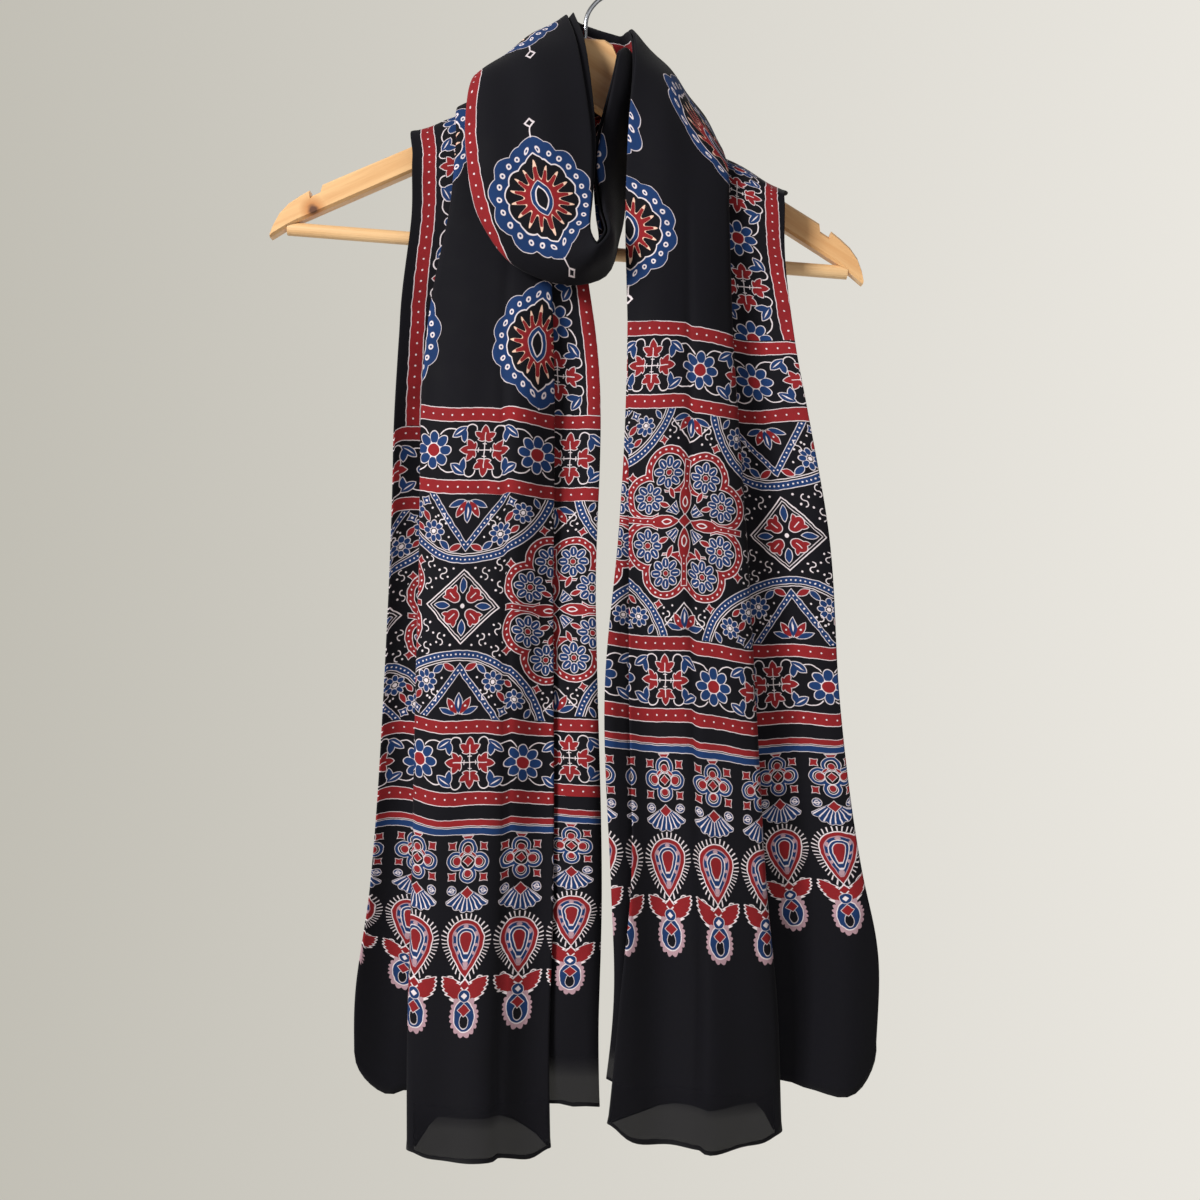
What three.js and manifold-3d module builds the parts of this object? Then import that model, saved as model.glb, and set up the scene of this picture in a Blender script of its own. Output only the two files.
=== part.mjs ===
// A printed stole wound round the neck of a wooden hanger. Millimetres, +Z up, X to the right, Y to the back.
// The origin is the inside top of the hook, where it hangs.
import * as THREE from "three";
import Module from "manifold-3d";
import { mergeVertices } from "three/addons/utils/BufferGeometryUtils.js";

const clothWidth = 560;
const clothThickness = 1;
const hangerTilt = (4.5 * Math.PI) / 180;
const armThickness = 12;
const armSweep = 0.05;
const armGap = 0.3;
const barRadius = 4.9;
const barHalfLength = 206;
const barHeight = -228;
const socketGap = 0.35;
const wireRadius = 1.7;
const hookRadius = 19;
const hookHeight = 68;

// Blends the rows of a table at u, with slopes from the rows on both sides.
function blend(knots, rows, u) {
  let i = 0;
  while (i < knots.length - 2 && u > knots[i + 1]) i += 1;
  const span = knots[i + 1] - knots[i];
  const f = (u - knots[i]) / span;
  const slope = (k, c) => {
    if (k === 0) return (rows[1][c] - rows[0][c]) / (knots[1] - knots[0]);
    const last = knots.length - 1;
    if (k === last) return (rows[last][c] - rows[last - 1][c]) / (knots[last] - knots[last - 1]);
    const before = knots[k] - knots[k - 1];
    const after = knots[k + 1] - knots[k];
    const fall = (rows[k][c] - rows[k - 1][c]) / before;
    const rise = (rows[k + 1][c] - rows[k][c]) / after;
    return (fall * after + rise * before) / (before + after);
  };
  const f2 = f * f;
  const f3 = f2 * f;
  return rows[0].map((_, c) => {
    const start = rows[i][c] * (2 * f3 - 3 * f2 + 1) + slope(i, c) * span * (f3 - 2 * f2 + f);
    const end = rows[i + 1][c] * (3 * f2 - 2 * f3) + slope(i + 1, c) * span * (f3 - f2);
    return start + end;
  });
}

// The cloth is folded lengthwise into five layers. A row is a section across it: where the front layer's
// outer and inner folds lie, how far the outer fold is from the outer edge of the flat cloth, how far the
// outer and inner edges show beyond the front layer, how deep the hidden folds reach, the gap between
// layers, how far the outer edge bends outwards, and how far the two edges are drawn back along the cloth.
const sectionColumns =
  "outerX outerY outerZ innerX innerY innerZ start outer inner tuck gap lift outerRise innerRise".split(" ");
const sections = [
  // left end, up to the left arm
  [-134, -30, -894, -30, -30, -894, 250, 38, 36, 130, 3.6, 0, 62, 40],
  [-134, -31, -815, -31, -31, -815, 250, 37, 36, 130, 3.4, 0, 48, 32],
  [-131, -32, -700, -28, -32, -700, 250, 30, 35, 130, 3.2, 0, 20, 16],
  [-126, -34, -484, -28, -34, -484, 249, 22, 31, 130, 3, 0, -8, 2],
  [-116, -36, -269, -28, -36, -269, 250, 22, 29, 110, 3, 0, -14, 0],
  [-101, -35, -194, -32, -35, -190, 251, 30, 16, 70, 2.6, 0, -4, 0],
  [-98, -31, -155, -42, -31, -146, 244, 33, 5, 40, 2.1, 0, 0, 0],
  // over the left arm and behind the neck
  [-98, -2, -120.5, -53, -2, -101.5, 234, 34, 0, 26, 1.6, 0, 0, 0],
  [-87, 22, -139, -40, 17, -108, 212, 22, 2, 26, 1.8, 0, 0, 0],
  [-48, 28, -158, -22, 19, -112, 184, 6, 0, 24, 1.8, 0, 0, 0],
  [2, 28, -156, 6, 19, -110, 166, 0, 0, 24, 1.8, 0, 0, 0],
  [26, 25, -138, 21, 17, -99, 150, 0, 0, 14, 1.8, 0, 0, 0],
  // over the right arm and down as the loop's right leg
  [41, -2, -108.5, 28, -2, -78, 146, 0, 0, 15, 1.6, 0, 0, 0],
  [34, -21, -124, 22, -27, -86, 152, 0, 0, 17, 1.8, 0, 0, 0],
  [28, -18, -152, 14, -36, -124, 156, 0, 0, 16, 2.4, 0, 0, 0],
  [27, -18, -185, 5, -42, -168, 156, 0, 0, 18, 2.6, 0, 0, 0],
  [22, -26, -222, 9, -55, -206, 150, 0, 0, 18, 2.5, 0, 0, 0],
  // round the loop's bottom and up as its left leg
  [9, -37, -255, 13, -66, -229, 128, -2, 0, 14, 2.3, 0, 0, 0],
  [-16, -45, -262, 5, -72, -240, 98, -2, 0, 14, 2.3, 0, 0, 0],
  [-50, -54, -252, -1, -67, -228, 74, -2, 0, 18, 2.2, 0, 0, 0],
  [-78, -59, -218, 0, -62, -200, 60, -2, 1, 32, 2.2, 0, 0, 0],
  [-88, -57, -170, 0, -57, -160, 60, -2, 3, 60, 2.3, 0, 0, 0],
  [-89, -48, -134, -5, -46, -118, 60, -2, 5, 60, 2.2, 0, 0, 0],
  [-86, -30, -107, -12, -26, -76, 60, -2, 6, 30, 1.8, 0, 0, 0],
  // behind the neck again
  [-80, 0, -99, -19, 0, -49, 64, -2, 5, 24, 1.7, 0, 0, 0],
  [-56, 30, -111, -15, 24, -47, 84, -2, 4, 24, 1.7, 0, 0, 0],
  [2, 42, -122, 4, 38, -49, 112, 4, 3, 24, 1.9, 0, 0, 0],
  [58, 33, -128, 23, 32, -52, 146, 20, 0, 20, 2.2, 7, 0, 0],
  // over the right arm and down to the right end
  [91, 2, -144.8, 30, 2, -60, 188, 58, 0, 20, 1.8, 22, 0, 0],
  [95, -25, -156, 32, -28, -92, 219, 55, 0, 24, 1.9, 18, 0, 0],
  [98, -41, -177.5, 27, -43, -142, 245, 45, 0, 34, 2.2, 7, 0, 0],
  [98, -45, -206, 24.5, -45, -196, 257, 41, 0, 70, 3, 0, 0, 0],
  [101, -43, -291, 26, -43, -291, 255, 45, 0, 110, 3, 0, 0, 0],
  [111, -41, -438, 27, -41, -438, 235, 60, 7, 130, 3, 0, 4, 0],
  [117, -40, -551, 27, -40, -551, 230, 61, 17, 130, 3, 0, 12, 0],
  [126, -38, -699, 28, -38, -699, 226, 69, 14, 130, 3.2, 0, 34, 4],
  [133, -36, -769, 21, -36, -769, 222, 73, 5, 130, 3.4, 0, 42, 6],
  [137, -34, -881, 11, -34, -881, 220, 68, 2, 130, 3.6, 0, 62, 10],
];

// Points across one section, from the outer to the inner edge: p across, q outwards, rise along the cloth.
function foldedSection(row, counts) {
  const { front, start, outer, inner, tuck, gap, lift, outerRise, innerRise } = row;
  const outerFold = -front / 2;
  const innerFold = front / 2;
  const outerEdge = outerFold - outer;
  const innerEdge = innerFold + inner;
  const farTurn = Math.min((start + outerEdge + outerFold) / 2, outerFold + tuck, innerFold - gap);
  const nearMost = (start + front - clothWidth + innerEdge + innerFold) / 2;
  const nearTurn = Math.max(nearMost, innerFold - tuck, outerFold + 4 * gap);
  const level = [-4 * gap, -3 * gap, 0, -gap, -2 * gap];
  const ends = [outerEdge, farTurn, outerFold, innerFold, nearTurn, innerEdge];
  const rises = [outerRise, 0.5 * outerRise, 0.08 * outerRise, 0.25 * innerRise, 0.8 * innerRise, innerRise];
  const points = [];
  for (let layer = 0; layer < 5; layer += 1) {
    const way = layer % 2 ? -1 : 1;
    const rIn = layer ? Math.abs(level[layer] - level[layer - 1]) / 2 : 0;
    const rOut = layer < 4 ? Math.abs(level[layer + 1] - level[layer]) / 2 : 0;
    const from = ends[layer] + way * rIn;
    const to = ends[layer + 1] - way * rOut;
    for (let i = 0; i <= counts.layer[layer]; i += 1) {
      const f = i / counts.layer[layer];
      const p = from + (to - from) * f;
      const bow = layer === 2 ? 0.05 * front * (1 - (2 * f - 1) ** 2) : 0;
      const beyond = layer === 0 ? Math.max(0, outerFold - p) / Math.max(outer, 1) : 0;
      const ease = layer === 0 ? 1 - (1 - f) ** 6 : f;
      const rise = rises[layer] + (rises[layer + 1] - rises[layer]) * ease;
      points.push({ p, q: level[layer] + bow + lift * beyond, rise });
    }
    if (layer === 4) break;
    const middle = (level[layer] + level[layer + 1]) / 2;
    const swing = (level[layer + 1] - level[layer]) / 2;
    for (let i = 1; i < counts.turn[layer]; i += 1) {
      const a = (Math.PI * i) / counts.turn[layer];
      const p = to + way * rOut * Math.sin(a);
      points.push({ p, q: middle - swing * Math.cos(a), rise: rises[layer + 1] });
    }
  }
  return points;
}

// A closed sheet from rows of points: both faces, half the thickness to each side, joined round the rim.
// Layers that run back across the section are cut along the other diagonal, so that facing layers keep clear.
function sheetGeometry(grid, thickness) {
  const rows = grid.length;
  const columns = grid[0].length;
  const positions = [];
  for (const side of [1, -1]) {
    for (let i = 0; i < rows; i += 1) {
      for (let j = 0; j < columns; j += 1) {
        const ahead = grid[Math.min(i + 1, rows - 1)][j].point;
        const aside = grid[i][Math.min(j + 1, columns - 1)].point;
        const along = ahead.clone().sub(grid[Math.max(i - 1, 0)][j].point);
        const across = aside.clone().sub(grid[i][Math.max(j - 1, 0)].point);
        const outward = across.cross(along).normalize();
        const point = grid[i][j].point.clone().addScaledVector(outward, (side * thickness) / 2);
        positions.push(point.x, point.y, point.z);
      }
    }
  }
  const back = rows * columns;
  const index = [];
  const quad = (a, b, c, d) => index.push(a, b, c, a, c, d);
  for (let i = 0; i < rows - 1; i += 1) {
    for (let j = 0; j < columns - 1; j += 1) {
      const a = i * columns + j;
      const b = a + 1;
      const c = b + columns;
      const d = a + columns;
      if (grid[i][j].p < grid[i][j + 1].p) {
        quad(a, b, c, d);
        quad(back + a, back + d, back + c, back + b);
      } else {
        quad(b, c, d, a);
        quad(back + d, back + c, back + b, back + a);
      }
    }
  }
  for (let j = 0; j < columns - 1; j += 1) {
    const last = (rows - 1) * columns + j;
    quad(j, back + j, back + j + 1, j + 1);
    quad(last, last + 1, back + last + 1, back + last);
  }
  for (let i = 0; i < rows - 1; i += 1) {
    const a = i * columns;
    const end = a + columns - 1;
    quad(a, a + columns, back + a + columns, back + a);
    quad(end, back + end, back + end + columns, end + columns);
  }
  const geometry = new THREE.BufferGeometry();
  geometry.setAttribute("position", new THREE.Float32BufferAttribute(positions, 3));
  geometry.setIndex(index);
  geometry.computeVertexNormals();
  return geometry;
}

// Sweeps the folded section along the whole path of the cloth.
function stoleGeometry() {
  const middleOf = ([ax, ay, az, bx, by, bz]) =>
    new THREE.Vector3((ax + bx) / 2, (ay + by) / 2, (az + bz) / 2);
  const middles = sections.map(middleOf);
  const knots = [0];
  middles.slice(1).forEach((point, i) => knots.push(knots[i] + point.distanceTo(middles[i])));
  const length = knots[knots.length - 1];
  const stations = [];
  for (let i = 0; i < knots.length - 1; i += 1) {
    const span = knots[i + 1] - knots[i];
    const pieces = Math.max(1, Math.round(span / (span > 65 ? 60 : 12)));
    for (let k = 0; k < pieces; k += 1) stations.push(knots[i] + (span * k) / pieces);
  }
  stations.push(length);
  const counts = { layer: [4, 2, 5, 2, 2], turn: [3, 4, 3, 3] };
  const step = 2;
  const grid = stations.map((u) => {
    const values = blend(knots, sections, u);
    const row = Object.fromEntries(sectionColumns.map((name, c) => [name, values[c]]));
    const ahead = middleOf(blend(knots, sections, Math.min(u + step, length)));
    const along = ahead.sub(middleOf(blend(knots, sections, Math.max(u - step, 0)))).normalize();
    const across = new THREE.Vector3(row.innerX - row.outerX, row.innerY - row.outerY, row.innerZ - row.outerZ);
    row.front = across.length();
    across.normalize();
    const outward = across.clone().cross(along).normalize();
    const sense = u < length / 2 ? 1 : -1;
    return foldedSection(row, counts).map(({ p, q, rise }) => {
      const point = middleOf(values).addScaledVector(across, p).addScaledVector(outward, q);
      return { p, point: point.addScaledVector(along, sense * rise) };
    });
  });
  return sheetGeometry(grid, clothThickness);
}

// One arm of the hanger from the neck to its end, in columns: reach from the middle, top and bottom.
// It bends down to the end, with a notch in its top, and sweeps forward a little.
const armStations = [
  [0, -68.5, -113],
  [15, -69, -122],
  [21, -72.5, -126],
  [25, -80, -129],
  [29, -94, -131.5],
  [36, -109, -135],
  [46, -119, -140.5],
  [118, -159.5, -179],
  [178, -192, -212],
  [182.5, -194.5, -214.5],
  [183.5, -200, -215],
  [190.5, -204, -219],
  [191.5, -199.5, -219.5],
  [198, -204, -223],
  [206, -210.5, -228],
  [212, -218, -232.5],
  [216, -227, -235.5],
  [217.5, -233.5, -236.5],
];

function armGeometry(side) {
  const half = armThickness / 2;
  const edge = 2;
  const rings = armStations.map(([reach, top, bottom]) => {
    const trim = Math.min(edge, (top - bottom) * 0.3);
    const outline = [
      [-half + edge, bottom],
      [half - edge, bottom],
      [half, bottom + trim],
      [half, top - trim],
      [half - edge, top],
      [-half + edge, top],
      [-half, top - trim],
      [-half, bottom + trim],
    ];
    const x = side * (reach + armGap / 2);
    return outline.map(([y, z]) => new THREE.Vector3(x, y - armSweep * reach, z));
  });
  const positions = rings.flat().flatMap((v) => [v.x, v.y, v.z]);
  const n = 8;
  const index = [];
  const face = (a, b, c) => (side < 0 ? index.push(a, b, c) : index.push(a, c, b));
  for (let i = 0; i < rings.length - 1; i += 1) {
    for (let j = 0; j < n; j += 1) {
      const a = i * n + j;
      const b = i * n + ((j + 1) % n);
      face(a, a + n, b);
      face(b, a + n, b + n);
    }
  }
  const last = (rings.length - 1) * n;
  for (let j = 1; j < n - 1; j += 1) {
    face(0, j, j + 1);
    face(last, last + j + 1, last + j);
  }
  const geometry = new THREE.BufferGeometry();
  geometry.setAttribute("position", new THREE.Float32BufferAttribute(positions, 3));
  geometry.setIndex(index);
  return geometry;
}

const wasm = await Module();
wasm.setup();

function solidOf(geometry) {
  const bare = geometry.clone();
  bare.deleteAttribute("normal");
  bare.deleteAttribute("uv");
  const merged = mergeVertices(bare, 1e-4);
  return new wasm.Manifold(
    new wasm.Mesh({
      numProp: 3,
      vertProperties: new Float32Array(merged.attributes.position.array),
      triVerts: new Uint32Array(merged.index.array),
    }),
  );
}

function geometryOf(solid) {
  const mesh = solid.getMesh();
  const geometry = new THREE.BufferGeometry();
  geometry.setAttribute("position", new THREE.BufferAttribute(new Float32Array(mesh.vertProperties), 3));
  geometry.setIndex(new THREE.BufferAttribute(new Uint32Array(mesh.triVerts), 1));
  geometry.computeVertexNormals();
  return geometry;
}

function barGeometry(radius, halfLength) {
  const geometry = new THREE.CylinderGeometry(radius, radius, 2 * halfLength, 20);
  geometry.rotateZ(Math.PI / 2);
  geometry.translate(0, -armSweep * barHalfLength, barHeight);
  return geometry;
}

// The wire goes up from the neck, out to one side and over the top, and ends short of the stem.
function hookPath() {
  const points = [
    [0, -hookHeight - 22],
    [0, -hookHeight],
    [0.5, -50],
    [6, -40],
    [15, -32],
  ];
  for (let degrees = -20; degrees <= 200; degrees += 20) {
    const a = (degrees * Math.PI) / 180;
    const reach = hookRadius + wireRadius;
    points.push([reach * Math.cos(a), reach * Math.sin(a) - hookRadius]);
  }
  return new THREE.CatmullRomCurve3(points.map(([x, z]) => new THREE.Vector3(x, 0, z)));
}

function wireGeometry(radius) {
  const disc = new THREE.Shape().absarc(0, 0, radius, 0, 2 * Math.PI);
  const path = hookPath();
  return new THREE.ExtrudeGeometry(disc, { steps: 56, curveSegments: 5, bevelEnabled: false, extrudePath: path });
}

const cloth = new THREE.MeshStandardMaterial({ color: 0x16161b, roughness: 0.75, metalness: 0 });
const wood = new THREE.MeshStandardMaterial({ color: 0xdeb787, roughness: 0.5, metalness: 0 });
const paleWood = new THREE.MeshStandardMaterial({ color: 0xe2bd8e, roughness: 0.45, metalness: 0 });
const steel = new THREE.MeshStandardMaterial({ color: 0xc4c6c8, roughness: 0.25, metalness: 1 });

function piece(name, geometry, material) {
  const mesh = new THREE.Mesh(geometry, material);
  mesh.name = name;
  return mesh;
}

const socket = solidOf(barGeometry(barRadius + socketGap, barHalfLength + socketGap));
const wireHole = solidOf(wireGeometry(wireRadius + socketGap));
const hanger = new THREE.Group();
for (const [name, side] of [["arm_left", -1], ["arm_right", 1]]) {
  const solid = solidOf(armGeometry(side)).subtract(socket).subtract(wireHole);
  hanger.add(piece(name, geometryOf(solid), wood));
}
hanger.add(piece("bar", barGeometry(barRadius, barHalfLength), paleWood));
hanger.add(piece("hook", wireGeometry(wireRadius), steel));
hanger.rotation.y = hangerTilt;

const object = new THREE.Group();
object.add(piece("stole", stoleGeometry(), cloth));
object.add(hanger);

export default object;
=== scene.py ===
"""A block-printed stole wound round the neck of a wooden hanger.

Lengths are in metres unless a comment says millimetres.
X is to the right, Y to the back, and Z up from zero near the hook's top.
"""
import math

import bpy
import numpy as np
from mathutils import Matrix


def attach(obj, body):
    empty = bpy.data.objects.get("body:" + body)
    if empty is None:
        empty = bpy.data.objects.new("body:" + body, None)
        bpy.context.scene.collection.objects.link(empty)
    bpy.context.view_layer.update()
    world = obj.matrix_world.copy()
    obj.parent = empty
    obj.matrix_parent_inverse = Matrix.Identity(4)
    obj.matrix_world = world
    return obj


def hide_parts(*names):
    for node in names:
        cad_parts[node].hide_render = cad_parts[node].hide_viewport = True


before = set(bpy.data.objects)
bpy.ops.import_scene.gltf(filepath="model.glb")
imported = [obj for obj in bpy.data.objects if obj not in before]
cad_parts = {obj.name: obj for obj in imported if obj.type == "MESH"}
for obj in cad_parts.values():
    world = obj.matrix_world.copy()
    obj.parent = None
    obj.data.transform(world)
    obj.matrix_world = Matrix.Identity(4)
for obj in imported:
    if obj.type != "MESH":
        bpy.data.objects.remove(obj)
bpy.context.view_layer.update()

# Arms of the hanger: two halves of pale hardwood, sawn to the bow shape and lacquered.
# The grain runs along each arm and a brown knot sits near the left arm's end.


class Flow:
    """A shader socket that takes part in Python arithmetic: each operation adds one node to its tree."""

    def __init__(self, tree, socket):
        self.tree = tree
        self.socket = socket

    def add(self, kind, settings=None, inputs=None, output=0):
        """Adds a node of a kind with these settings and inputs, and gives one of its outputs."""
        node = self.tree.nodes.new(kind)
        for name, value in (settings or {}).items():
            setattr(node, name, value)
        for key, value in (inputs or {}).items():
            if isinstance(value, Flow):
                self.tree.links.new(value.socket, node.inputs[key])
            else:
                node.inputs[key].default_value = value
        return Flow(self.tree, node.outputs[output])

    def math(self, operation, *others, clamp=False):
        """This value and the others through one Math node."""
        inputs = {i: value for i, value in enumerate((self, *others))}
        return self.add("ShaderNodeMath", {"operation": operation, "use_clamp": clamp}, inputs)

    def __add__(self, other):
        return self.math("ADD", other)

    __radd__ = __add__

    def __sub__(self, other):
        return self.math("SUBTRACT", other)

    def __rsub__(self, other):
        return self.math("MULTIPLY_ADD", -1.0, other)

    def __mul__(self, other):
        return self.math("MULTIPLY", other)

    __rmul__ = __mul__

    def __truediv__(self, other):
        return self.math("DIVIDE", other)

    def __rtruediv__(self, other):
        return self.math("POWER", -1.0) * other

    def __neg__(self):
        return self * -1.0

    def __abs__(self):
        return self.math("ABSOLUTE")

    def least(self, *others):
        """The smallest of this and the others."""
        result = self
        for other in others:
            result = result.math("MINIMUM", other)
        return result

    def most(self, *others):
        """The largest of this and the others."""
        result = self
        for other in others:
            result = result.math("MAXIMUM", other)
        return result

    def reach(self, other):
        """Length of the vector whose two parts are this and the other."""
        return (self * self).math("MULTIPLY_ADD", 1.0, other * other).math("SQRT")

    def fold(self, period):
        """Distance to the nearest whole multiple of the period."""
        return self.math("PINGPONG", period / 2)

    def wrap(self, period):
        """Offset from the nearest whole multiple of the period."""
        return self.math("WRAP", period / 2, -period / 2)

    def mix(self, share, first, second, blend="MIX"):
        """Two colours blended by a share from 0 to 1."""
        settings = {"data_type": "RGBA", "blend_type": blend}
        return self.add("ShaderNodeMix", settings, {0: share, 6: first, 7: second}, 2)

    def tint(self, distance, colour, blur=0.35):
        """This colour with another laid over it where the distance, in millimetres, is below zero."""
        return self.mix(distance.math("MULTIPLY_ADD", -1 / blur, 0.5, clamp=True), self, colour)

    def feed(self, shader, key):
        """Links this to an input of a shader."""
        self.tree.links.new(self.socket, shader.inputs[key])


def rgb(red, green, blue):
    """Linear colour with full alpha from the 0 to 255 values of a picture."""
    values = [v / 255 for v in (red, green, blue)]
    return [v / 12.92 if v <= 0.04045 else ((v + 0.055) / 1.055) ** 2.4 for v in values] + [1.0]


def new_material(name):
    """An empty material: gives it, a start for its node expressions, and its principled shader."""
    material = bpy.data.materials.new(name)
    material.use_nodes = True
    tree = material.node_tree
    return material, Flow(tree, None), tree.nodes["Principled BSDF"]


def wood_material(name, light, dark, along, knot=None):
    """Lacquered wood: rings stretched along a direction, fine pores and, where given, a knot at a point."""
    material, flow, shader = new_material(name)
    place = flow.add("ShaderNodeTexCoord", output="Object")
    turned = flow.add("ShaderNodeMapping", {}, {"Vector": place, "Rotation": (0, along, 0)})
    stretched = flow.add("ShaderNodeMapping", {}, {"Vector": turned, "Scale": (9, 110, 150)})
    ring_inputs = {"Vector": stretched, "Scale": 1.0, "Detail": 4, "Roughness": 0.55}
    rings = flow.add("ShaderNodeTexNoise", {}, ring_inputs)
    fine = flow.add("ShaderNodeMapping", {}, {"Vector": turned, "Scale": (60, 900, 1500)})
    pores = flow.add("ShaderNodeTexNoise", {}, {"Vector": fine, "Scale": 1.0, "Detail": 2})
    share = ((rings - 0.5) * 2.2 + 0.42 + (pores - 0.5) * 0.5).math("ADD", 0.0, clamp=True)
    colour = flow.mix(share, light, dark)
    if knot:
        away = flow.add("ShaderNodeVectorMath", {"operation": "DISTANCE"}, {0: place, 1: knot}, "Value")
        ring = away * 1000 + (rings - 0.5) * 5
        colour = colour.tint(ring - 7.5, rgb(190, 128, 72), 6).tint(ring - 3.4, rgb(92, 52, 26), 2.5)
    colour.feed(shader, "Base Color")
    (0.42 + (rings - 0.5) * 0.25).feed(shader, "Roughness")
    bump_inputs = {"Strength": 0.12, "Distance": 0.0004, "Height": rings + pores * 0.4}
    flow.add("ShaderNodeBump", {}, bump_inputs).feed(shader, "Normal")
    shader.inputs["Coat Weight"].default_value = 0.25
    shader.inputs["Coat Roughness"].default_value = 0.3
    return material


arm_slope = math.radians(30)
hanger_tilt = math.radians(4.5)
pale, brown = rgb(226, 182, 128), rgb(202, 148, 92)
for node, slope, knot in (
    ("arm_left", -arm_slope + hanger_tilt, (-0.204, -0.016, -0.198)),
    ("arm_right", arm_slope + hanger_tilt, None),
):
    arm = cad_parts[node]
    arm.data.materials.clear()
    arm.data.materials.append(wood_material(node + "_wood", pale, brown, -slope, knot))

# Bar: a thin round dowel of the same wood, a shade lighter than the arms.
# Its two ends are glued into sockets in the arms.
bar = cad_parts["bar"]
bar.data.materials.clear()
bar.data.materials.append(wood_material("bar_wood", rgb(230, 192, 142), rgb(208, 160, 106), -hanger_tilt))

# Hook: bright plated steel wire, bent to a round hook.
# Its straight end is fixed in the neck, where the two arms meet.
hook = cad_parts["hook"]
plated, flow, shader = new_material("plated_wire")
place = flow.add("ShaderNodeTexCoord", output="Object")
wear = flow.add("ShaderNodeTexNoise", {}, {"Vector": place, "Scale": 160, "Detail": 3})
flow.mix(wear, rgb(178, 180, 184), rgb(136, 138, 142)).feed(shader, "Base Color")
(0.14 + wear * 0.16).feed(shader, "Roughness")
shader.inputs["Metallic"].default_value = 1.0
hook.data.materials.clear()
hook.data.materials.append(plated)

# Stole: one length of thin black cotton, block-printed in red, indigo and white, with narrow rolled hems.
# It is folded lengthwise into five layers and led behind the neck twice, with a loop in front between.
# Nothing is sewn or tied: it lies over the arms and its two ends hang down in front.

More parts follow.
